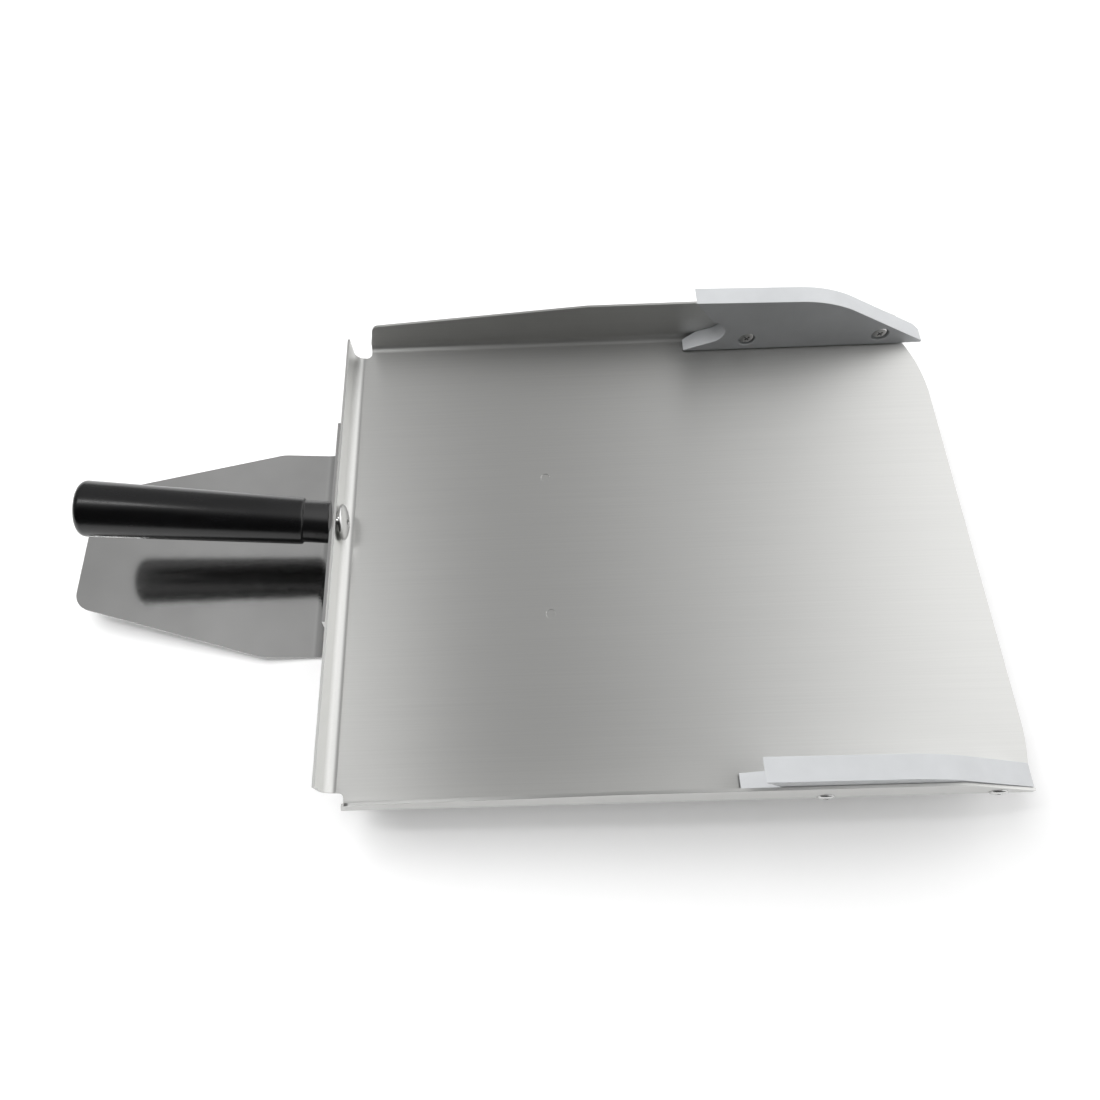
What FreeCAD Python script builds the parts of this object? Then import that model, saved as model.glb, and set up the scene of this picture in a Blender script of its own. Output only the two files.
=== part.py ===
"""Mortar scoop: a folded sheet tray with side guards, a rear grip and a hand-guard plate.

Working frame of the sketches: X forward, Y to the left, Z up. X = 0 is the outer face of the
tray's rear lip, Y = 0 its centreline and Z = 0 the underside of its floor. Every finished piece
is then shifted by the same amount, so that the origin of the whole object is the bottom centre
of its bounding box. All sizes are in millimetres and degrees.
"""
import FreeCAD
import Part
import Sketcher
import math
import os

SIZES = [
    # tray
    ("tray_width", 280.0),
    ("tray_length", 345.0),
    ("sheet_thickness", 1.5),
    ("lip_height", 20.0),
    ("lip_bend_radius", 6.0),
    ("lip_half_width", 131.0),
    ("wall_start", 11.0),
    ("wall_rear_lean", 3.5),
    ("wall_rear_rounding", 5.0),
    ("wall_rear_height", 20.5),
    ("wall_front_height", 31.5),
    ("wall_kink", 143.0),
    ("wall_slope_start", 296.0),
    ("wall_nose_height", 8.0),
    ("wall_bend_radius", 4.0),
    ("front_straight_half", 88.0),
    ("front_straight_right", 104.0),
    ("front_corner_radius", 105.0),
    ("notch_radius", 3.0),
    ("press_mark_x", 115.5),
    ("press_mark_y", 41.5),
    ("press_mark_radius", 2.6),
    ("press_mark_depth", 0.3),
    # side guards
    ("guard_thickness", 11.2),
    ("guard_gap", 0.1),
    ("guard_floor_gap", 1.0),
    ("guard_rise", 12.4),
    ("guard_top_fall", 1.6),
    ("guard_rear", 204.6),
    ("guard_arc_start", 262.0),
    ("guard_arc_end", 300.0),
    ("guard_arc_drop", 10.6),
    ("guard_tip", 347.5),
    ("guard_right_end", 338.0),
    ("guard_tip_height", 4.2),
    ("guard_tip_bottom", 2.7),
    ("guard_bite_x", 216.7),
    ("guard_bite_height", 18.1),
    ("guard_bite_radius", 8.7),
    ("guard_bite_lip", 6.0),
    ("tongue_rear", 203.0),
    ("tongue_slope", 21.5),
    # guard screws
    ("screw_rear_x", 240.0),
    ("screw_pitch", 80.0),
    ("screw_height", 11.0),
    ("screw_radius", 2.0),
    ("screw_length", 9.0),
    ("screw_head_radius", 4.0),
    ("screw_head_height", 1.5),
    ("screw_recess_width", 0.9),
    ("screw_recess_length", 4.4),
    ("screw_recess_depth", 0.9),
    ("wall_hole_radius", 2.2),
    ("sleeve_radius", 2.8),
    ("sleeve_flange_radius", 4.8),
    ("sleeve_flange_height", 1.6),
    ("counterbore_radius", 5.0),
    ("counterbore_depth", 2.2),
    ("fit_gap", 0.05),
    # grip, bolt and hand-guard plate
    ("grip_offset", 11.0),
    ("bolt_height", 13.5),
    ("bolt_radius", 4.0),
    ("bolt_hole_radius", 4.2),
    ("bolt_reach", 15.0),
    ("bolt_head_radius", 10.0),
    ("bolt_head_height", 3.4),
    ("bolt_head_rim", 0.8),
    ("bolt_socket_radius", 2.5),
    ("bolt_socket_depth", 2.0),
    ("spacer_radius", 5.9),
    ("spacer_thickness", 2.0),
    ("insert_radius", 6.0),
    ("insert_length", 16.0),
    ("grip_tilt", 11.6),
    ("grip_length", 128.7),
    ("grip_neck_length", 15.0),
    ("grip_neck_radius", 11.4),
    ("grip_front_radius", 12.6),
    ("grip_rear_radius", 14.8),
    ("grip_end_radius", 4.0),
    ("plate_thickness", 1.5),
    ("plate_drop", 24.0),
    ("plate_bend_radius", 14.5),
    ("plate_slope", 6.3),
    ("plate_rear", 148.7),
    ("plate_corner", 44.0),
    ("plate_half_width", 65.0),
    ("plate_end_half_width", 35.8),
    ("plate_corner_radius", 20.0),
    ("plate_end_radius", 11.0),
    ("flange_top", 20.4),
    ("flange_half_width", 60.0),
    ("flange_foot", 8.0),
]

# how far a cutting outline stands past the material, and a small step off a tangent
OVERSHOOT = 5.0
CLEAR = 0.1


class Size:
    """A number together with the spreadsheet expression that it comes from."""

    def __init__(self, value, text):
        self.value = float(value)
        self.text = text

    def __add__(self, other):
        other = as_size(other)
        return Size(self.value + other.value, "(%s + %s)" % (self.text, other.text))

    def __sub__(self, other):
        other = as_size(other)
        return Size(self.value - other.value, "(%s - %s)" % (self.text, other.text))

    def __mul__(self, other):
        other = as_size(other)
        return Size(self.value * other.value, "(%s * %s)" % (self.text, other.text))

    def __truediv__(self, other):
        other = as_size(other)
        return Size(self.value / other.value, "(%s / %s)" % (self.text, other.text))

    def __neg__(self):
        return Size(-self.value, "(-1 * %s)" % self.text)

    __radd__ = __add__

    def __rsub__(self, other):
        return as_size(other) - self


def as_size(item):
    if isinstance(item, Size):
        return item
    return Size(item, repr(float(item)))


def root(item):
    return Size(math.sqrt(item.value), "sqrt(%s)" % item.text)


def sine(angle):
    return Size(math.sin(math.radians(angle.value)), "sin(%s)" % angle.text)


def cosine(angle):
    return Size(math.cos(math.radians(angle.value)), "cos(%s)" % angle.text)


def make_sheet(doc):
    """Writes every driving size to one spreadsheet and returns them by name."""
    sheet = doc.addObject("Spreadsheet::Sheet", "Sizes")
    sizes = {}
    for row, (name, value) in enumerate(SIZES, start=1):
        sheet.set("A%d" % row, name)
        sheet.set("B%d" % row, repr(value))
        sheet.setAlias("B%d" % row, name)
        sizes[name] = Size(value, "Sizes.%s" % name)
    doc.recompute()
    return sizes


def bind(item, path, size):
    item.setExpression(path, as_size(size).text)


# ---------------------------------------------------------------- sketches and bodies


def new_body(doc, label):
    body = doc.addObject("PartDesign::Body", label)
    body.Label = label
    return body


def origin_plane(body, role):
    for feature in body.Origin.OriginFeatures:
        if feature.Role == role:
            return feature
    raise RuntimeError("no origin plane " + role)


def new_sketch(body, label, role, offset=None):
    """A sketch on one of the body's own planes, moved along the plane's normal by offset."""
    sketch = body.newObject("Sketcher::SketchObject", label)
    sketch.AttachmentSupport = [(origin_plane(body, role), "")]
    sketch.MapMode = "FlatFace"
    if offset is not None:
        bind(sketch, ".AttachmentOffset.Base.z", offset)
    return sketch


def pin(sketch, geo, pos, x, y):
    """Holds a point at x, y from the sketch's origin, bound to the sizes."""
    for kind, axis, size in (("DistanceX", -2, as_size(x)), ("DistanceY", -1, as_size(y))):
        if abs(size.value) < 1e-9:
            sketch.addConstraint(Sketcher.Constraint("PointOnObject", geo, pos, axis))
            continue
        if size.value > 0:
            number = sketch.addConstraint(Sketcher.Constraint(kind, -1, 1, geo, pos, size.value))
            bind(sketch, "Constraints[%d]" % number, size)
        else:
            number = sketch.addConstraint(Sketcher.Constraint(kind, geo, pos, -1, 1, -size.value))
            bind(sketch, "Constraints[%d]" % number, -size)


def outline(sketch, points, arcs=None):
    """A closed outline. arcs maps a side's number to (radius, centre, turns left)."""
    arcs = arcs or {}
    spots = [FreeCAD.Vector(as_size(x).value, as_size(y).value, 0) for x, y in points]
    ids = []
    for side, start in enumerate(spots):
        end = spots[(side + 1) % len(spots)]
        if side in arcs:
            ids.append(sketch.addGeometry(arc_between(start, end, arcs[side])))
        else:
            ids.append(sketch.addGeometry(Part.LineSegment(start, end)))
    leads = [start_and_end(arcs.get(side)) for side in range(len(points))]
    for side, geo in enumerate(ids):
        after = (side + 1) % len(ids)
        joint = Sketcher.Constraint("Coincident", geo, leads[side][1], ids[after], leads[after][0])
        sketch.addConstraint(joint)
    for side, (x, y) in enumerate(points):
        pin(sketch, ids[side], leads[side][0], x, y)
    for side, (radius, centre, turns_left) in arcs.items():
        number = sketch.addConstraint(Sketcher.Constraint("Radius", ids[side], as_size(radius).value))
        bind(sketch, "Constraints[%d]" % number, radius)


def start_and_end(arc):
    """Which ends of a sketch element the outline enters and leaves by."""
    if arc is not None and not arc[2]:
        return 2, 1
    return 1, 2


def arc_between(start, end, arc):
    radius, centre, turns_left = arc
    middle = FreeCAD.Vector(as_size(centre[0]).value, as_size(centre[1]).value, 0)
    first = math.atan2(start.y - middle.y, start.x - middle.x)
    last = math.atan2(end.y - middle.y, end.x - middle.x)
    if not turns_left:
        first, last = last, first
    circle = Part.Circle(middle, FreeCAD.Vector(0, 0, 1), as_size(radius).value)
    return Part.ArcOfCircle(circle, first, last)


def circle(sketch, x, y, radius):
    centre = FreeCAD.Vector(as_size(x).value, as_size(y).value, 0)
    geo = sketch.addGeometry(Part.Circle(centre, FreeCAD.Vector(0, 0, 1), as_size(radius).value))
    pin(sketch, geo, 3, x, y)
    number = sketch.addConstraint(Sketcher.Constraint("Radius", geo, as_size(radius).value))
    bind(sketch, "Constraints[%d]" % number, radius)


def add_pad(body, sketch, length, reverse=False, midplane=False):
    pad = body.newObject("PartDesign::Pad", sketch.Name + "_pad")
    pad.Profile = sketch
    bind(pad, "Length", length)
    pad.Reversed = reverse
    pad.Midplane = midplane
    body.Document.recompute()
    return pad


def add_pocket(body, sketch, depth=None, reverse=False, midplane=False):
    """Cuts a sketch out of the body, and makes sure that it removed material."""
    before = body.Shape.Volume
    pocket = body.newObject("PartDesign::Pocket", sketch.Name + "_cut")
    pocket.Profile = sketch
    if depth is None:
        pocket.Type = "ThroughAll"
    else:
        bind(pocket, "Length", depth)
    pocket.Reversed = reverse
    pocket.Midplane = midplane
    body.Document.recompute()
    if body.Shape.Volume > before - 1e-3:
        raise RuntimeError(pocket.Name + " removed nothing")
    return pocket


def add_mirror(body, features, role):
    mirror = body.newObject("PartDesign::Mirrored", features[0].Name + "_mirror")
    mirror.Originals = features
    mirror.MirrorPlane = (origin_plane(body, role), [""])
    body.Tip = mirror
    body.Document.recompute()
    return mirror


def add_round(body, test, radius, label):
    """Rounds every edge of the body that passes the test."""
    base = body.Tip
    names = ["Edge%d" % (i + 1) for i, edge in enumerate(base.Shape.Edges) if test(edge)]
    if not names:
        raise RuntimeError("no edge found for " + label)
    rounding = body.newObject("PartDesign::Fillet", label)
    rounding.Base = (base, names)
    bind(rounding, "Radius", radius)
    body.Document.recompute()
    return rounding


def near(one, other):
    return abs(one - other) < 0.02


def edge_at(**where):
    """A test for edges whose middle lies at the given x, y or z (a list gives choices)."""

    def test(edge):
        middle = edge.valueAt((edge.FirstParameter + edge.LastParameter) / 2)
        for axis, wanted in where.items():
            if axis == "along":
                if not runs_along(edge, wanted):
                    return False
                continue
            choices = wanted if isinstance(wanted, (list, tuple)) else [wanted]
            if not any(near(getattr(middle, axis), as_size(c).value) for c in choices):
                return False
        return True

    return test


def runs_along(edge, axis):
    if edge.Curve.TypeId != "Part::GeomLine":
        return False
    return abs(getattr(edge.tangentAt(edge.FirstParameter), axis)) > 0.999


# ---------------------------------------------------------------- the tray


def make_tray(doc, s):
    body = new_body(doc, "scoop_tray")
    half = s["tray_width"] / 2
    sheet = s["sheet_thickness"]
    length = s["tray_length"]
    lip = s["lip_half_width"]
    start = s["wall_start"]

    floor = new_sketch(body, "floor_outline", "XY_Plane")
    outline(floor, [(0, -lip), (start, -lip), (start, -half), (length, -half),
                    (length, half), (start, half), (start, lip), (0, lip)])
    add_pad(body, floor, sheet)

    rear = new_sketch(body, "lip_outline", "YZ_Plane")
    outline(rear, [(-lip, 0), (lip, 0), (lip, s["lip_height"]), (-lip, s["lip_height"])])
    add_pad(body, rear, sheet)

    wall = new_sketch(body, "wall_outline", "XZ_Plane", half)
    outline(wall, [(start, 0), (length, 0), (length, s["wall_front_height"]),
                   (start, s["wall_front_height"])])
    side = add_pad(body, wall, sheet, reverse=True)
    add_mirror(body, [side], "XZ_Plane")

    add_round(body, edge_at(x=sheet, z=sheet, along="y"), s["lip_bend_radius"], "lip_bend_inside")
    add_round(body, edge_at(x=0, z=0, along="y"), s["lip_bend_radius"] + sheet, "lip_bend_outside")
    inner = half - sheet
    add_round(body, edge_at(y=[inner, -inner], z=sheet, along="x"),
              s["wall_bend_radius"], "wall_bend_inside")
    add_round(body, edge_at(y=[half, -half], z=0, along="x"),
              s["wall_bend_radius"] + sheet, "wall_bend_outside")

    cut_front_corners(body, s)
    cut_wall_profile(body, s)
    drill_tray(body, s)
    add_round(body, edge_at(x=start, y=[lip, -lip], along="z"), s["notch_radius"], "notch_corner")
    return body


def cut_front_corners(body, s):
    """Rounds the floor's front corners, and carries on straight through the bend and the wall."""
    for sign, name in ((1, "left"), (-1, "right")):
        straight = s["front_straight_half"] if sign > 0 else s["front_straight_right"]
        half = s["tray_width"] / 2
        radius = s["front_corner_radius"]
        length = s["tray_length"]
        centre_x = length - radius + CLEAR
        bend_y = half - s["sheet_thickness"] - s["wall_bend_radius"] - CLEAR
        reach = bend_y - straight
        depth = root(radius * radius - reach * reach)
        beyond = half + OVERSHOOT
        end_x = centre_x + depth - (beyond - bend_y) * reach / depth
        corner = new_sketch(body, "front_corner_" + name, "XY_Plane")
        outline(corner, [(length + CLEAR, straight * sign), (length + OVERSHOOT, straight * sign),
                         (length + OVERSHOOT, beyond * sign), (end_x, beyond * sign),
                         (centre_x + depth, bend_y * sign)],
                {4: (radius, (centre_x, straight * sign), sign < 0)})
        add_pocket(body, corner, s["wall_front_height"] * 4, midplane=True)


def cut_wall_profile(body, s):
    start = s["wall_start"]
    length = s["tray_length"]
    front = s["wall_front_height"]
    above = front + OVERSHOOT
    nose = length - OVERSHOOT
    top = new_sketch(body, "wall_top", "XZ_Plane")
    outline(top, [(start - OVERSHOOT, s["wall_rear_height"] - wall_rise(s) * OVERSHOOT),
                  (s["wall_kink"], front), (s["wall_kink"], above),
                  (start - OVERSHOOT, above)])
    add_pocket(body, top, s["tray_width"] * 2, midplane=True)
    slope = new_sketch(body, "wall_nose", "XZ_Plane")
    outline(slope, [(s["wall_slope_start"], front), (nose, s["wall_nose_height"]),
                    (length + OVERSHOOT, s["wall_nose_height"]), (length + OVERSHOOT, above),
                    (s["wall_slope_start"], above)])
    add_pocket(body, slope, s["tray_width"] * 2, midplane=True)
    lean_wall_ends(body, s)


def lean_wall_ends(body, s):
    """Leans the walls' rear edges forward and rounds their top corners."""
    start = s["wall_start"]
    foot = s["sheet_thickness"] + s["wall_bend_radius"]
    corner_x = start + s["wall_rear_lean"]
    corner_z = s["wall_rear_height"] + wall_rise(s) * s["wall_rear_lean"]
    above_x = corner_x + s["wall_rear_lean"] * OVERSHOOT / (corner_z - foot)
    rear = new_sketch(body, "wall_rear_end", "XZ_Plane")
    outline(rear, [(start - OVERSHOOT, foot), (start, foot), (above_x, corner_z + OVERSHOOT),
                   (start - OVERSHOOT, corner_z + OVERSHOOT)])
    add_pocket(body, rear, s["tray_width"] * 2, midplane=True)
    add_round(body, edge_at(x=corner_x, z=corner_z, along="y"), s["wall_rear_rounding"], "wall_rear_corner")


def wall_rise(s):
    """How much the rear part of the side wall's top climbs per millimetre."""
    return (s["wall_front_height"] - s["wall_rear_height"]) / (s["wall_kink"] - s["wall_start"])


def drill_tray(body, s):
    bolt = new_sketch(body, "tray_bolt_hole", "YZ_Plane")
    circle(bolt, s["grip_offset"], s["bolt_height"], s["bolt_hole_radius"])
    add_pocket(body, bolt, s["sheet_thickness"] * 2 + OVERSHOOT, midplane=True)
    screws = new_sketch(body, "wall_screw_holes", "XZ_Plane")
    for x in (s["screw_rear_x"], s["screw_rear_x"] + s["screw_pitch"]):
        circle(screws, x, s["screw_height"], s["wall_hole_radius"])
    add_pocket(body, screws, s["tray_width"] * 2, midplane=True)
    marks = new_sketch(body, "press_marks", "XY_Plane", s["sheet_thickness"])
    for y in (s["press_mark_y"], -s["press_mark_y"]):
        circle(marks, s["press_mark_x"], y, s["press_mark_radius"])
    add_pocket(body, marks, s["press_mark_depth"])


# ---------------------------------------------------------------- the side guards


def make_guard(doc, s):
    """The left guard, against the inside of the left wall. The right one is its mirror image."""
    body = new_body(doc, "side_guard_left")
    face = s["tray_width"] / 2 - s["sheet_thickness"] - s["guard_gap"]
    bottom = s["sheet_thickness"] + s["guard_floor_gap"]
    top = s["wall_front_height"] + s["guard_rise"]
    front_top = top - s["guard_top_fall"]
    arc_end_z = front_top - s["guard_arc_drop"]
    bite = s["guard_bite_radius"]
    bite_x = s["guard_bite_x"]
    bite_z = s["guard_bite_height"]
    heel = (bite_x + bite * sine(s["guard_bite_lip"]), bite_z + bite * cosine(s["guard_bite_lip"]))
    slope = s["tongue_slope"]
    ramp_top = (bite_x + bite * sine(slope), bite_z - bite * cosine(slope))
    tip_fall = (ramp_top[0] - s["tongue_rear"]) * sine(slope) / cosine(slope)
    tongue_tip = (s["tongue_rear"], ramp_top[1] - tip_fall)
    run = s["guard_arc_end"] - s["guard_arc_start"]
    radius = (run * run + s["guard_arc_drop"] * s["guard_arc_drop"]) / (s["guard_arc_drop"] * 2)

    side = new_sketch(body, "guard_side", "XZ_Plane", -face)
    outline(side, [(s["tongue_rear"], bottom), (s["tray_length"] - 15, bottom),
                   (s["guard_tip"], s["guard_tip_bottom"]), (s["guard_tip"], s["guard_tip_height"]),
                   (s["guard_arc_end"], arc_end_z), (s["guard_arc_start"], front_top),
                   (s["guard_rear"], top), heel, ramp_top, tongue_tip],
            {4: (radius, (s["guard_arc_start"], front_top - radius), True),
             7: (bite, (bite_x, bite_z), False)})
    add_pad(body, side, s["guard_thickness"])

    bend = s["wall_bend_radius"]
    shoulder = new_sketch(body, "guard_foot", "YZ_Plane", s["tongue_rear"] - OVERSHOOT)
    outline(shoulder, [(face + 1, bottom - 1), (face + 1, bottom + bend + 1),
                       (face - bend - 1, bottom - 1)])
    add_pocket(body, shoulder, s["tray_length"], reverse=True)

    inner = face - s["guard_thickness"]
    bores = new_sketch(body, "guard_bores", "XZ_Plane", -face)
    counterbores = new_sketch(body, "guard_counterbores", "XZ_Plane", -inner)
    for x in (s["screw_rear_x"], s["screw_rear_x"] + s["screw_pitch"]):
        circle(bores, x, s["screw_height"], s["sleeve_radius"] + s["fit_gap"])
        circle(counterbores, x, s["screw_height"], s["counterbore_radius"])
    add_pocket(body, bores, s["guard_thickness"] * 3, midplane=True)
    add_pocket(body, counterbores, s["counterbore_depth"] * 2, midplane=True)
    return body


# ---------------------------------------------------------------- the hand-guard plate


def plate_level(s, x, radius):
    """Height of the sloping plate's surface at x, for the bend's inner or outer radius."""
    outer = s["plate_bend_radius"] + s["plate_thickness"]
    centre_z = outer - s["plate_drop"]
    slope = s["plate_slope"]
    return centre_z - (radius + (x + outer) * sine(slope)) / cosine(slope)


def make_plate(doc, s):
    body = new_body(doc, "hand_guard_plate")
    sheet = s["plate_thickness"]
    inner = s["plate_bend_radius"]
    outer = inner + sheet
    rear = -s["plate_rear"]
    top = s["flange_top"]
    zero = as_size(0)
    under_corner = plate_level(s, zero, outer)
    upper_corner = plate_level(s, -sheet, inner)

    side = new_sketch(body, "plate_side", "XZ_Plane", -s["grip_offset"])
    outline(side, [(0, top), (-sheet, top), (-sheet, upper_corner),
                   (rear, plate_level(s, rear, inner)), (rear, plate_level(s, rear, outer)),
                   (0, under_corner)])
    add_pad(body, side, s["plate_half_width"] * 2, midplane=True)
    add_round(body, edge_at(x=-sheet, z=upper_corner, along="y"), inner, "plate_bend_inside")
    add_round(body, edge_at(x=0, z=under_corner, along="y"), outer, "plate_bend_outside")

    for sign, name in ((1, "left"), (-1, "right")):
        trim_plate_side(body, s, sign, name)
    hole = new_sketch(body, "plate_bolt_hole", "YZ_Plane")
    circle(hole, s["grip_offset"], s["bolt_height"], s["bolt_hole_radius"])
    add_pocket(body, hole, sheet * 2 + OVERSHOOT, midplane=True)
    round_plate_corners(body, s)
    return body


def trim_plate_side(body, s, sign, name):
    middle = s["grip_offset"]
    wide = s["plate_half_width"]
    beyond = wide + OVERSHOOT
    rear = -s["plate_rear"]
    corner = -s["plate_corner"]
    end = s["plate_end_half_width"]
    slope = (wide - end) / (s["plate_rear"] - s["plate_corner"])
    past = rear - OVERSHOOT
    plan = new_sketch(body, "plate_taper_" + name, "XY_Plane")
    outline(plan, [(corner, middle + wide * sign), (past, middle + (end - slope * OVERSHOOT) * sign),
                   (past, middle + beyond * sign), (corner, middle + beyond * sign)])
    add_pocket(body, plan, s["plate_drop"] * 4, midplane=True)

    flange = new_sketch(body, "flange_taper_" + name, "YZ_Plane")
    foot = -s["flange_foot"]
    top = s["flange_top"]
    outline(flange, [(middle + wide * sign, foot), (middle + s["flange_half_width"] * sign, top),
                     (middle + beyond * sign, top), (middle + beyond * sign, foot)])
    add_pocket(body, flange, s["plate_corner"] * 2, midplane=True)


def round_plate_corners(body, s):
    middle = s["grip_offset"].value
    wide = s["plate_half_width"].value
    end = s["plate_end_half_width"].value

    def front_corner(edge):
        point = edge.CenterOfMass
        return near(point.x, -s["plate_corner"].value) and near(abs(point.y - middle), wide)

    def rear_corner(edge):
        point = edge.CenterOfMass
        return near(point.x, -s["plate_rear"].value) and near(abs(point.y - middle), end)

    add_round(body, front_corner, s["plate_corner_radius"], "plate_corner_round")
    add_round(body, rear_corner, s["plate_end_radius"], "plate_end_round")


# ---------------------------------------------------------------- the grip and its fixing


def make_grip(doc, s):
    """A turned grip whose axis rises to the rear from the bolt's centre."""
    body = new_body(doc, "handle_grip")
    contact = -s["plate_thickness"]
    profile = body.newObject("Sketcher::SketchObject", "grip_profile")
    profile.AttachmentSupport = [(origin_plane(body, "XZ_Plane"), "")]
    profile.MapMode = "FlatFace"
    profile.AttachmentOffset = FreeCAD.Placement(
        FreeCAD.Vector(0, 0, 0), FreeCAD.Rotation(FreeCAD.Vector(0, 0, 1), -s["grip_tilt"].value))
    bind(profile, ".AttachmentOffset.Base.x", contact)
    bind(profile, ".AttachmentOffset.Base.y", s["bolt_height"])
    bind(profile, ".AttachmentOffset.Base.z", -s["grip_offset"])
    bind(profile, ".AttachmentOffset.Rotation.Angle", -s["grip_tilt"])
    neck = s["grip_neck_radius"]
    step = s["grip_neck_length"]
    outline(profile, [(OVERSHOOT, 0), (OVERSHOOT, neck), (-step, neck),
                      (-(step + 2), s["grip_front_radius"]),
                      (-s["grip_length"], s["grip_rear_radius"]), (-s["grip_length"], 0)])
    turned = body.newObject("PartDesign::Revolution", "grip_turned")
    turned.Profile = profile
    turned.ReferenceAxis = (profile, ["H_Axis"])
    turned.Angle = 360
    doc.recompute()

    trim = new_sketch(body, "grip_front_trim", "XZ_Plane")
    reach = neck + OVERSHOOT
    outline(trim, [(contact, s["bolt_height"] - reach), (contact + OVERSHOOT * 3, s["bolt_height"] - reach),
                   (contact + OVERSHOOT * 3, s["bolt_height"] + reach),
                   (contact, s["bolt_height"] + reach)])
    add_pocket(body, trim, s["plate_half_width"] * 2, midplane=True)
    bore = new_sketch(body, "grip_insert_bore", "YZ_Plane", contact)
    circle(bore, s["grip_offset"], s["bolt_height"], s["insert_radius"])
    add_pocket(body, bore, s["insert_length"] + 2)

    largest = max(body.Shape.Edges, key=lambda edge: -edge.CenterOfMass.x)
    rear_x = largest.CenterOfMass.x
    add_round(body, lambda edge: near(edge.CenterOfMass.x, rear_x), s["grip_end_radius"], "grip_end")
    return body


def tube(doc, label, outer, inner, length, x, s):
    """A plain ring or sleeve along the bolt's axis, from x towards +X."""
    body = new_body(doc, label)
    sketch = new_sketch(body, label + "_ring", "YZ_Plane", x)
    circle(sketch, s["grip_offset"], s["bolt_height"], outer)
    circle(sketch, s["grip_offset"], s["bolt_height"], inner)
    add_pad(body, sketch, length)
    return body


def make_bolt(doc, s):
    """A cup-head bolt along X, its head inside the tray and its end in the grip's insert."""
    body = new_body(doc, "handle_bolt")
    seat = s["sheet_thickness"] + s["spacer_thickness"]
    head = s["bolt_head_radius"]
    rise = s["bolt_head_height"] - s["bolt_head_rim"]
    rim_x = seat + s["bolt_head_rim"]
    radius = (head * head + rise * rise) / (rise * 2)
    end = -(s["plate_thickness"] + s["bolt_reach"])
    profile = new_sketch(body, "bolt_profile", "XZ_Plane", -s["grip_offset"])
    level = s["bolt_height"]
    outline(profile, [(end, level), (seat + s["bolt_head_height"], level), (rim_x, level + head),
                      (seat, level + head), (seat, level + s["bolt_radius"]),
                      (end + 1, level + s["bolt_radius"]), (end, level + s["bolt_radius"] - 1)],
            {1: (radius, (seat + s["bolt_head_height"] - radius, level), True)})
    turned = body.newObject("PartDesign::Revolution", "bolt_turned")
    turned.Profile = profile
    axis = profile.addGeometry(Part.LineSegment(FreeCAD.Vector(end.value, level.value, 0),
                                                FreeCAD.Vector(0, level.value, 0)), True)
    profile.addConstraint(Sketcher.Constraint("Horizontal", axis))
    profile.addConstraint(Sketcher.Constraint("Coincident", axis, 1, 0, 1))
    pin_x(profile, axis, 2, s["plate_thickness"])
    turned.ReferenceAxis = (profile, ["Axis0"])
    turned.Angle = 360
    doc.recompute()
    socket = new_sketch(body, "bolt_socket", "YZ_Plane", seat + s["bolt_head_height"])
    hexagon(socket, s["grip_offset"], level, s["bolt_socket_radius"] * (2 / math.sqrt(3)))
    add_pocket(body, socket, s["bolt_socket_depth"])
    return body


def pin_x(sketch, geo, pos, x):
    number = sketch.addConstraint(Sketcher.Constraint("DistanceX", -1, 1, geo, pos, x.value))
    bind(sketch, "Constraints[%d]" % number, x)


def hexagon(sketch, x, y, radius):
    points = []
    for corner in range(6):
        angle = math.radians(60 * corner)
        points.append((x + radius * math.cos(angle), y + radius * math.sin(angle)))
    outline(sketch, points)


# ---------------------------------------------------------------- guard screws and sleeve nuts


def make_screw(doc, label, x, s):
    """A low-head screw through the left wall, its head outside and its axis along Y."""
    wall = s["tray_width"] / 2
    level = s["screw_height"]
    body = new_body(doc, label)
    head = new_sketch(body, label + "_head", "XZ_Plane", -wall)
    circle(head, x, level, s["screw_head_radius"])
    add_pad(body, head, s["screw_head_height"], reverse=True)
    shank = new_sketch(body, label + "_shank", "XZ_Plane", -wall)
    circle(shank, x, level, s["screw_radius"])
    add_pad(body, shank, s["screw_length"])
    outer = wall + s["screw_head_height"]
    add_round(body, edge_at(y=outer), s["screw_head_height"] * 0.6, label + "_crown")
    cross = new_sketch(body, label + "_recess", "XZ_Plane", -outer)
    arm = s["screw_recess_length"] / 2
    half = s["screw_recess_width"] / 2
    outline(cross, [(x + arm, level - half), (x + arm, level + half), (x + half, level + half),
                    (x + half, level + arm), (x - half, level + arm), (x - half, level + half),
                    (x - arm, level + half), (x - arm, level - half), (x - half, level - half),
                    (x - half, level - arm), (x + half, level - arm), (x + half, level - half)])
    add_pocket(body, cross, s["screw_recess_depth"] * 2, midplane=True)
    return body


def make_sleeve(doc, label, x, s):
    """A flanged sleeve nut, sunk in the guard's inner face."""
    inner = s["tray_width"] / 2 - s["sheet_thickness"] - s["guard_gap"] - s["guard_thickness"]
    level = s["screw_height"]
    seat = inner + s["counterbore_depth"]
    body = new_body(doc, label)
    flange = new_sketch(body, label + "_flange", "XZ_Plane", -seat)
    circle(flange, x, level, s["sleeve_flange_radius"])
    add_pad(body, flange, s["sleeve_flange_height"])
    shank = new_sketch(body, label + "_shank", "XZ_Plane", -seat)
    circle(shank, x, level, s["sleeve_radius"])
    add_pad(body, shank, s["guard_thickness"] - s["counterbore_depth"], reverse=True)
    bore = new_sketch(body, label + "_bore", "XZ_Plane", -(seat + s["guard_thickness"]))
    circle(bore, x, level, s["screw_radius"] + s["fit_gap"])
    add_pocket(body, bore, s["guard_thickness"] + s["counterbore_depth"] * 0.5, reverse=True)
    return body


# ---------------------------------------------------------------- placing, checking, writing


def shift_x(s):
    """How far the pieces move along x to centre the whole object on its origin."""
    return (s["plate_rear"] - s["guard_tip"]) / 2


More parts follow.
